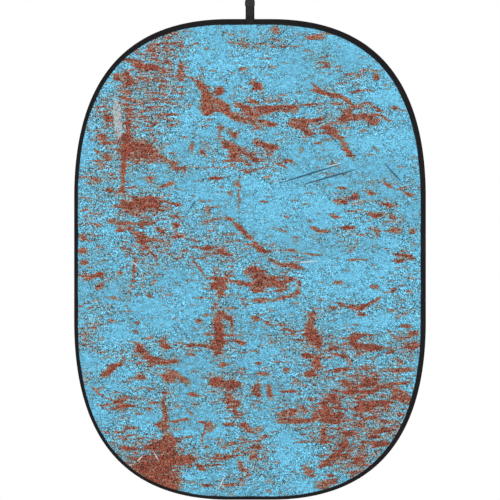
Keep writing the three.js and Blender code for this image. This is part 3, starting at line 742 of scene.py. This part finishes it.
PRINTED_CLOTH = printed_cloth()
PLAIN_CLOTH = plain_cloth()
BINDING_TAPE = binding_tape()
STRAP_WEBBING = strap_webbing()
THREAD = thread()
SLIDER_PLASTIC = slider_plastic()
SPRING_STEEL = metal("spring_steel", (84, 88, 96), (112, 116, 122), 0.3, 120)
ZINC = metal("zinc_fittings", (150, 153, 156), (182, 184, 186), 0.35, 300)

# ---- The two cloths ----

CLOTH_CELL = 6.5 * MM
CLOTH_THICKNESS = 0.4 * MM
CLOTH_FACE = 0.9 * MM  # from the middle plane to each cloth's outer face at rest
PULL_HEIGHT = 1.1 * MM  # of the shallow ripples that the hoop's pull leaves near the rim
PULL_REACH = 0.11
PULL_START = 35 * MM  # they rise to their full height this far in
PULL_SPACING = 0.045
RIM_SAMPLES = 1500
POINTS_AT_ONCE = 4000
CLOTH_COLUMNS = round(2 * HALF_WIDTH / CLOTH_CELL) + 1


def pull_ripples(points):
    """How far each point (x, z) of a cloth stands out, in ripples that run in from the rim."""
    distances = np.linspace(0, ROUND, RIM_SAMPLES, endpoint=False)
    rim, _ = rim_at(distances)
    out = np.empty(len(points))
    for first in range(0, len(points), POINTS_AT_ONCE):
        part = points[first : first + POINTS_AT_ONCE]
        gaps = np.linalg.norm(part[:, None] - rim[None], axis=2)
        nearest = gaps.argmin(axis=1)
        depth = gaps[np.arange(len(part)), nearest]
        where = distances[nearest]
        wave = np.sin(where / PULL_SPACING * 2 * math.pi + 2.2 * np.sin(where * 7))
        wave += 0.6 * np.sin(where * 61 + 1)
        fade = np.clip(1 - depth / PULL_REACH, 0, 1) ** 2 * np.clip(depth / PULL_START, 0, 1)
        out[first : first + POINTS_AT_ONCE] = (0.5 + 0.3 * wave) * fade
    return out * PULL_HEIGHT


def cloth_piece(name, index, side, material, printed):
    """One piece of the front cloth, side -1, or the back one, side 1."""
    high = min(LEVELS[index], RIM_TOP - CLOTH_INSET)
    low = max(LEVELS[index + 1], RIM_BOTTOM + CLOTH_INSET)
    rows = math.ceil((high - low) / CLOTH_CELL) + 1
    heights = np.linspace(high, low, rows)
    reach = half_width_at(heights, CLOTH_INSET)
    spread = np.linspace(-1, 1, CLOTH_COLUMNS)
    x = reach[:, None] * spread[None]
    z = np.broadcast_to(heights[:, None], x.shape)
    flat = np.stack([x, z], axis=-1).reshape(-1, 2)
    outer = side * (CLOTH_FACE + pull_ripples(flat))
    inner = outer - side * CLOTH_THICKNESS
    front, back = (outer, inner) if side < 0 else (inner, outer)
    points = np.concatenate([np.stack([flat[:, 0], y, flat[:, 1]], axis=1) for y in (front, back)])
    uv = np.tile(flat - [0, MIDDLE], (2, 1))
    fields = None
    if printed:
        groups = {"rust": RUST, "worn": WORN}
        fields = {field: np.tile(patches_at(flat, patches), 2) for field, patches in groups.items()}
    piece = mesh_object(f"{name}_{index + 1}", points, slab_quads(rows, CLOTH_COLUMNS), uv, material, fields)
    bend(piece)
    return piece


for index in range(PIECES):
    print_piece = cloth_piece("print", index, -1, PRINTED_CLOTH, True)
    backing = cloth_piece("backing", index, 1, PLAIN_CLOTH, False)
    if index == 0:
        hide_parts(*nodes_named("front_cloth"))
        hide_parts(*nodes_named("back_cloth"))

# ---- The binding, its stitches and the hoop ----

STATION = 2.1 * MM
EDGE_ROUND = 1.6 * MM
EDGE_ROUND_INSIDE = 1.1 * MM
EDGE_CORNERS = 13
PUCKER = 0.25 * MM  # how deep the stitches pull puckers into the lips
PUCKER_SPACING = 8.5 * MM
PUCKERS_SWELL_OVER = 0.13
WOBBLE = 0.7 * MM  # how unevenly the lips run, in long waves and in short ones
LONG_WOBBLE, SHORT_WOBBLE = 0.31, 0.06


def runs_of(index):
    """The stretches of the rim that a piece covers, as (from, to) distances."""
    high, low = LEVELS[index], LEVELS[index + 1]
    if index == 0:
        return [(distance_at(low, False), distance_at(low, True))]
    if index == PIECES - 1:
        return [(0, distance_at(high, False)), (distance_at(high, True), ROUND)]
    left = (distance_at(low, False), distance_at(high, False))
    return [left, (distance_at(high, True), distance_at(low, True))]


def waver(distance, wavelength, seed):
    """A smooth irregular wave round the rim, -1 to 1, that closes on itself."""
    cycles = round(ROUND / wavelength)
    turn = distance / ROUND * 2 * math.pi
    return (np.sin(turn * cycles + seed) + np.sin(turn * (cycles * 2 + 3) + 2 * seed)) / 2


def lip_width(distance, outward):
    wobble = waver(distance, LONG_WOBBLE, 1) + 0.4 * waver(distance, SHORT_WOBBLE, 2)
    return binding_width(outward) + WOBBLE * wobble


LIP_DROP = RIM_HALF_DEPTH - LIP_HALF_GAP - TAPE_THICKNESS  # from the rim's full depth to a lip's outer face


def share_down(depth, width):
    """How far down the binding's slope a depth from the rim's edge is: 0 at its shoulder, 1 at its lip."""
    return np.clip((depth - RIM_SHOULDER) / (width - RIM_SHOULDER), 0, 1)


def face_height(depth, width):
    """How far the binding's outer face is from the middle plane at a depth from the rim's edge."""
    return RIM_HALF_DEPTH - LIP_DROP * share_down(depth, width)


def tape_section(width):
    """The tape's section for each width, as (inset, y) corners: its outer face from the front lip round the
    edge to the back lip, and its inner face back again."""
    bow = np.linspace(-math.pi / 2, math.pi / 2, EDGE_CORNERS)[:, None]
    full = np.sign(bow) * np.abs(np.sin(bow)) ** 0.5
    shares = np.array([1, 0.92, 0.8, 0.6, 0.4, 0.2, 0])[:, None]
    slope_inset = RIM_SHOULDER + (width - RIM_SHOULDER) * shares
    slope_y = face_height(slope_inset, width)

    def wall(thickness, edge_round):
        edge_inset = thickness + edge_round * (1 - np.cos(bow)) + 0 * width
        edge_y = (RIM_HALF_DEPTH - thickness) * full + 0 * width
        insets = np.concatenate([slope_inset, edge_inset, slope_inset[::-1]])
        heights = np.concatenate([thickness - slope_y, edge_y, slope_y[::-1] - thickness])
        return insets, heights

    outer = wall(0, EDGE_ROUND)
    inner = wall(TAPE_THICKNESS, EDGE_ROUND_INSIDE)
    return tuple(np.concatenate([a, b[::-1]]) for a, b in zip(outer, inner))


def binding_part(distances):
    point, outward = rim_at(distances)
    width = lip_width(distances, outward)
    inset, y = tape_section(width)
    swell = 0.6 + 0.4 * waver(distances, PUCKERS_SWELL_OVER, 4)
    pucker = PUCKER * waver(distances, PUCKER_SPACING, 3) * swell
    y = y + np.sign(y) * pucker * share_down(inset, width)
    rings = drawn_in_to(point, outward, inset, y)
    around = lengths_along(np.stack([inset[:, 0], y[:, 0]], axis=1))
    return sweep(rings.transpose(1, 0, 2), distances, around)


def hoop_part(distances):
    ends = np.abs(distances - ROUND / 2) > ROUND / 2 - 1e-6  # the band's own two ends
    distances = np.where(ends, np.clip(distances, HOOP_END_GAP / 2, ROUND - HOOP_END_GAP / 2), distances)
    point, outward = rim_at(distances)
    near, far = HOOP_INSET, HOOP_INSET + HOOP_THICKNESS
    half = HOOP_HALF_DEPTH
    shallow = half - HOOP_BEVEL
    inner, outer = near + HOOP_BEVEL, far - HOOP_BEVEL
    section = [(inner, -half), (near, -shallow), (near, shallow), (inner, half)]
    section += [(outer, half), (far, shallow), (far, -shallow), (outer, -half)]
    rings = [drawn_in_to(point, outward, inset, y + 0 * distances) for inset, y in section]
    return sweep(np.stack(rings, axis=1), distances, np.array([y for _, y in section]))


STITCH_PITCH = 4.2 * MM
STITCH_LENGTH = 3.2 * MM
STITCH_RADIUS = 0.32 * MM
STITCH_SIDES = 6
STITCH_FLATNESS = 0.8
STITCHES_FROM_LIP = 2.6 * MM


def stitches(middles, forwards, outwards):
    """A rounded stitch of thread at each middle, lying along forwards on a surface that faces outwards."""
    turns = np.arange(STITCH_SIDES) / STITCH_SIDES * 2 * math.pi
    lengths = np.array([-0.5, -0.36, 0, 0.36, 0.5])
    sizes = np.array([0.35, 0.9, 1.0, 0.9, 0.35])
    lifts = np.array([-0.6, 0.1, 0.45, 0.1, -0.6])
    sideways = np.cross(forwards, outwards)
    along = (lengths * STITCH_LENGTH)[None, :, None, None] * forwards[:, None, None, :]
    side = (sizes[:, None] * np.cos(turns))[None, :, :, None] * sideways[:, None, None, :]
    rise = sizes[:, None] * np.sin(turns) * STITCH_FLATNESS + lifts[:, None]
    lift = rise[None, :, :, None] * outwards[:, None, None, :]
    rings = middles[:, None, None, :] + along + STITCH_RADIUS * (side + lift)
    one = sweep(rings[0], lengths, turns)[1]
    points_in_one = len(lengths) * len(turns)
    starts = np.arange(len(middles)) * points_in_one
    quads = (one[None] + starts[:, None, None]).reshape(-1, 4)
    points = rings.reshape(-1, 3)
    return points, quads, points[:, [0, 2]]


def stitch_part(first, last):
    """Two rows of stitches along a stretch of the binding, one on each face."""
    count = round((last - first) / STITCH_PITCH)
    distances = first + (np.arange(count) + 0.5) * (last - first) / count
    point, outward = rim_at(distances)
    width = lip_width(distances, outward)
    inset = width - STITCHES_FROM_LIP
    place = point - inset[:, None] * outward
    lift = face_height(inset, width)
    forwards = np.stack([-outward[:, 1], 0 * inset, outward[:, 0]], axis=1)
    parts = []
    for side in (-1, 1):
        middles = np.stack([place[:, 0], side * lift, place[:, 1]], axis=1)
        slope = LIP_DROP / (width - RIM_SHOULDER)
        facing = unit(np.stack([-outward[:, 0] * slope, side + 0 * slope, -outward[:, 1] * slope], axis=1))
        parts.append(stitches(middles, forwards, facing))
    return parts


def stations(first, last):
    return np.linspace(first, last, math.ceil((last - first) / STATION) + 1)


for index in range(PIECES):
    runs = runs_of(index)
    tapes = [binding_part(stations(*run)) for run in runs]
    bands = [hoop_part(stations(*run)) for run in runs]
    rows = [row for run in runs for row in stitch_part(*run)]
    binding = mesh_object(f"binding_{index + 1}", *join_parts(tapes))
    hoop = mesh_object(f"hoop_{index + 1}", *join_parts(bands))
    stitching = mesh_object(f"stitching_{index + 1}", *join_parts(rows))
    for piece, material, slot_name in (
        (binding, BINDING_TAPE, "binding_tape"),
        (hoop, SPRING_STEEL, "spring_steel"),
        (stitching, THREAD, "binding_tape"),
    ):
        piece.data.materials.append(material)
        bend(piece)
    if index == 0:
        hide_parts(*nodes_named("binding"))
        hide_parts(*nodes_named("hoop_top", "hoop_left", "hoop_right", "hoop_bottom"))

# ---- The strap ----

STRAP_STATION = 1.2 * MM
STRAP_SOFTENING = 7 * MM
STRAP_COLUMNS = 25
STRAP_THIN_EDGE = 0.12 * MM
SELVEDGE = 3 * MM  # how far from each edge a woven dent runs
SELVEDGE_WIDTH = 0.7 * MM
SELVEDGE_DENT = 0.14
STRAP_EDGE_SPREAD = 0.6 * MM  # how much wider the sewn ends have been pulled, on each side
STRAP_SPREADS_OVER = 20 * MM
TURN_POINTS = 16


def strap_path():
    """The middle line (y, z) of the strap, from its front sewn end over the loop to its back one."""
    half = STRAP_THICKNESS / 2
    on_rim = RIM_HALF_DEPTH + CLEARANCE + half
    top_width = BINDING_WIDTH + BINDING_WIDER_UP
    end_y = CLEARANCE + half + face_height(TAB_END_INSET, top_width)
    bight = LOOP_INNER_RADIUS + half
    turn = np.linspace(0, math.pi / 2, TURN_POINTS)
    front = [
        (-end_y, RIM_TOP - TAB_END_INSET),
        (-on_rim, RIM_TOP - RIM_SHOULDER),
        (-on_rim, RIM_TOP + LEGS_END_ABOVE_RIM),
        (-LEG_OFFSET, RIM_TOP + LEGS_PART_ABOVE_RIM),
        (-LEG_OFFSET, LOOP_CLOSED_AT),
        *((-bight * math.cos(a), bight * math.sin(a) - LOOP_INNER_RADIUS) for a in turn),
    ]
    back = [(-y, z) for y, z in front[-2::-1]]
    corners = np.array(front + back)
    lengths = lengths_along(corners)
    count = math.ceil(lengths[-1] / STRAP_STATION) + 1
    along = np.linspace(0, lengths[-1], count)
    path = np.stack([np.interp(along, lengths, corners[:, i]) for i in (0, 1)], axis=1)
    window = round(STRAP_SOFTENING / STRAP_STATION)
    before = 2 * path[0] - path[window:0:-1]
    after = 2 * path[-1] - path[-2 : -window - 2 : -1]
    padded = np.concatenate([before, path, after])
    weights = np.hanning(2 * window + 1)
    weights /= weights.sum()
    smooth = np.stack([np.convolve(padded[:, i], weights, "valid") for i in (0, 1)], axis=1)
    return smooth, along


def strap_solid():
    path, along = strap_path()
    tangent = unit(np.gradient(path, axis=0))
    normal = np.stack([-tangent[:, 1], tangent[:, 0]], axis=1)
    share = np.sin(np.linspace(-math.pi / 2, math.pi / 2, STRAP_COLUMNS))
    across = share * STRAP_WIDTH / 2
    thickness = STRAP_THICKNESS / 2 * np.clip(1 - np.abs(share) ** 10, 0, 1) ** 0.5
    thickness = np.maximum(thickness, STRAP_THIN_EDGE)
    dent = np.exp(-(((np.abs(across) - STRAP_WIDTH / 2 + SELVEDGE) / SELVEDGE_WIDTH) ** 2))
    thickness *= 1 - SELVEDGE_DENT * dent
    sewn = np.clip((RIM_TOP + LEGS_END_ABOVE_RIM - path[:, 1]) / STRAP_SPREADS_OVER, 0, 1)
    wide = 1 + sewn * STRAP_EDGE_SPREAD * 2 / STRAP_WIDTH
    rings = []
    for offset, x in [*zip(thickness, across), *zip(-thickness[::-1], across[::-1])]:
        place = path + offset * normal
        rings.append(np.stack([x * wide, place[:, 0], place[:, 1]], axis=1))
    return sweep(np.stack(rings, axis=1), along, np.concatenate([across, across[::-1]]))


strap = mesh_object("hanging_strap", *strap_solid(), STRAP_WEBBING)
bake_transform(strap)
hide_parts("strap_loop", "strap_tab_front", "strap_tab_back")

# The stitches that hold its sewn ends: a box with a cross in it.
BOX_HALF_WIDTH = 15.5 * MM
BOX_TOP_INSET = 5 * MM
BOX_BOTTOM_INSET = 20.5 * MM


def sewn_lines():
    """The box's four sides and its two diagonals as ((x, inset), (x, inset))."""
    w, top, bottom = BOX_HALF_WIDTH, BOX_TOP_INSET, BOX_BOTTOM_INSET
    corners = [(-w, top), (w, top), (w, bottom), (-w, bottom)]
    sides = list(zip(corners, corners[1:] + corners[:1]))
    return [*sides, (corners[0], corners[2]), (corners[1], corners[3])]


def sewn_end(side):
    path, _ = strap_path()
    half = path[: len(path) // 2] if side < 0 else path[len(path) // 2 :]
    half = half[np.argsort(half[:, 1])]
    parts = []
    for (x0, inset0), (x1, inset1) in sewn_lines():
        length = math.hypot(x1 - x0, inset1 - inset0)
        count = round(length / STITCH_PITCH)
        share = (np.arange(count) + 0.5) / count
        x = x0 + (x1 - x0) * share
        z = RIM_TOP - (inset0 + (inset1 - inset0) * share)
        y = np.interp(z, half[:, 1], half[:, 0]) + side * STRAP_THICKNESS / 2
        middles = np.stack([x, y, z], axis=1)
        next_y = np.interp(z + MM, half[:, 1], half[:, 0]) + side * STRAP_THICKNESS / 2
        slope = (next_y - y) / MM
        rise = (inset0 - inset1) / length
        forwards = unit(np.stack([(x1 - x0) / length + 0 * x, slope * rise, rise + 0 * x], axis=1))
        facing = unit(np.stack([0 * x, side + 0 * x, -side * slope], axis=1))
        parts.append(stitches(middles, forwards, facing))
    return parts


strap_stitches = mesh_object("strap_stitching", *join_parts(sewn_end(-1) + sewn_end(1)), THREAD)
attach(strap_stitches, "panel_top")

# ---- The slider ----

SLIDER_LOW, SLIDER_HIGH = (Vector(corner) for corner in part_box("strap_slider"))
SLIDER_CORNER = 6 * MM
SLIDER_EDGE = 1.2 * MM
SLOT_HALF_WIDTH = 20 * MM
SLOT_NEAR = 0.8 * MM
SLOT_FAR = 3 * MM
GROOVE_SIZE = (20 * MM, 1.4 * MM, 3.2 * MM)
GROOVE_HEIGHTS = (-5.5 * MM, 2.5 * MM, 10.5 * MM)
GROOVE_ROUNDING = 0.45
GROOVE_EDGE = 0.3 * MM


def rounded_block(low, high, round_upright, round_all, segments=5):
    """A block between two corners, rounded at its edges along Y and then, less, at all its sharp edges."""
    bm = bmesh.new()
    middle = (low + high) / 2
    size = high - low
    place = Matrix.Translation(middle) @ Matrix.Diagonal((*size, 1))
    bmesh.ops.create_cube(bm, size=1, matrix=place)
    for edges_along_y, offset in ((True, round_upright), (False, round_all)):
        edges = []
        for edge in bm.edges:
            along = (edge.verts[0].co - edge.verts[1].co).normalized()
            sharp = edge.calc_face_angle(0) > math.radians(40)
            if sharp and (abs(along.y) > 0.99) == edges_along_y:
                edges.append(edge)
        if offset and edges:
            bmesh.ops.bevel(bm, geom=edges, offset=offset, segments=segments, profile=0.5, affect="EDGES")
    mesh = bpy.data.meshes.new("block")
    bm.to_mesh(mesh)
    bm.free()
    return mesh


def cut_away(mesh, tools):
    """The mesh less its tools."""
    obj = linked("cutting", mesh)
    helpers = []
    for tool in tools:
        helper = linked("tool", tool)
        helpers.append(helper)
        cut = obj.modifiers.new("cut", "BOOLEAN")
        cut.operation = "DIFFERENCE"
        cut.solver = "EXACT"
        cut.object = helper
    bpy.context.view_layer.update()
    evaluated = obj.evaluated_get(bpy.context.evaluated_depsgraph_get())
    result = bpy.data.meshes.new_from_object(evaluated)
    for helper in [obj, *helpers]:
        bpy.data.objects.remove(helper)
    return result


def slider():
    middle = (SLIDER_LOW + SLIDER_HIGH) / 2
    reach = (SLIDER_HIGH - SLIDER_LOW) / 2
    tools = []
    for near, far in ((-SLOT_FAR, -SLOT_NEAR), (SLOT_NEAR, SLOT_FAR)):
        low = Vector((middle.x - SLOT_HALF_WIDTH, near, SLIDER_LOW.z - reach.z))
        high = Vector((middle.x + SLOT_HALF_WIDTH, far, SLIDER_HIGH.z + reach.z))
        tools.append(rounded_block(low, high, 0, 0))
    width, depth, height = GROOVE_SIZE
    for side in (-1, 1):
        for above in GROOVE_HEIGHTS:
            centre = Vector((middle.x, side * reach.y, middle.z + above))
            half = Vector((width / 2, depth / 2, height / 2))
            tools.append(rounded_block(centre - half, centre + half, height * GROOVE_ROUNDING, GROOVE_EDGE))
    mesh = cut_away(rounded_block(SLIDER_LOW, SLIDER_HIGH, SLIDER_CORNER, SLIDER_EDGE), tools)
    smooth_shaded(mesh)
    mesh.materials.clear()
    mesh.materials.append(SLIDER_PLASTIC)
    return linked("slider", mesh)


slider_piece = slider()
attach(slider_piece, "slider")
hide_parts("strap_slider")

# ---- The CAD nodes that stay ----

for name in ("hoop_ferrule", "ferrule_rivet_left", "ferrule_rivet_right"):
    slots = frame["nodes"][name].material_slots
    for material_slot in slots:
        material_slot.material = ZINC

# ---- Floor, light and camera ----

FLOOR_BELOW = 0.4
FLOOR_RADIUS = 3.2
VIEW_WIDTH = 2.1325  # across the picture, at the panel
VIEW_ABOVE_MIDDLE = 0.040
CAMERA_AWAY = 12.0
SENSOR = 36


def floor():
    bm = bmesh.new()
    bmesh.ops.create_circle(bm, cap_ends=True, radius=FLOOR_RADIUS, segments=128)
    bmesh.ops.translate(bm, verts=bm.verts, vec=(0, 0, RIM_BOTTOM - FLOOR_BELOW))
    mesh = bpy.data.meshes.new("floor")
    bm.to_mesh(mesh)
    bm.free()
    m = Nodes("floor", Roughness=0.9, Specular_IOR_Level=0.1)
    m.paint((0.8, 0.8, 0.8, 1))
    mesh.materials.append(m.material)
    linked("floor", mesh)


def world():
    """White all round, a little dimmer as a light than it looks."""
    made = bpy.data.worlds.new("studio")
    bpy.context.scene.world = made
    made.use_nodes = True
    tree = made.node_tree
    background = tree.nodes["Background"]
    background.inputs["Color"].default_value = (1, 1, 1, 1)
    seen = tree.nodes.new("ShaderNodeLightPath")
    strength = tree.nodes.new("ShaderNodeMapRange")
    strength.inputs["To Min"].default_value = WORLD_LIGHT
    strength.inputs["To Max"].default_value = 1.0
    tree.links.new(seen.outputs["Is Camera Ray"], strength.inputs["Value"])
    tree.links.new(strength.outputs[0], background.inputs["Strength"])


def area_light(name, place, size, power):
    light = bpy.data.lights.new(name, "AREA")
    light.shape = "DISK"
    light.size = size
    light.energy = power
    obj = linked(name, light)
    obj.location = place
    aim = Vector((0, 0, MIDDLE)) - Vector(place)
    obj.rotation_euler = aim.to_track_quat("-Z", "Y").to_euler()


WORLD_LIGHT = 0.58
floor()
world()
area_light("key", (-3.2, -4.5, MIDDLE + 2.8), 2.5, 135)
area_light("fill", (3.5, -4.0, MIDDLE + 0.6), 3.0, 50)
area_light("back_light", (2.5, 4.5, MIDDLE + 2.2), 2.5, 90)

camera = bpy.data.cameras.new("camera")
camera.sensor_width = SENSOR
camera.lens = SENSOR * CAMERA_AWAY / VIEW_WIDTH
camera.clip_end = 100
camera_object = linked("camera", camera)
camera_object.location = (0, -CAMERA_AWAY, MIDDLE + VIEW_ABOVE_MIDDLE)
camera_object.rotation_euler = (math.pi / 2, 0, 0)
bpy.context.scene.camera = camera_object
bpy.context.scene.view_settings.view_transform = "Standard"
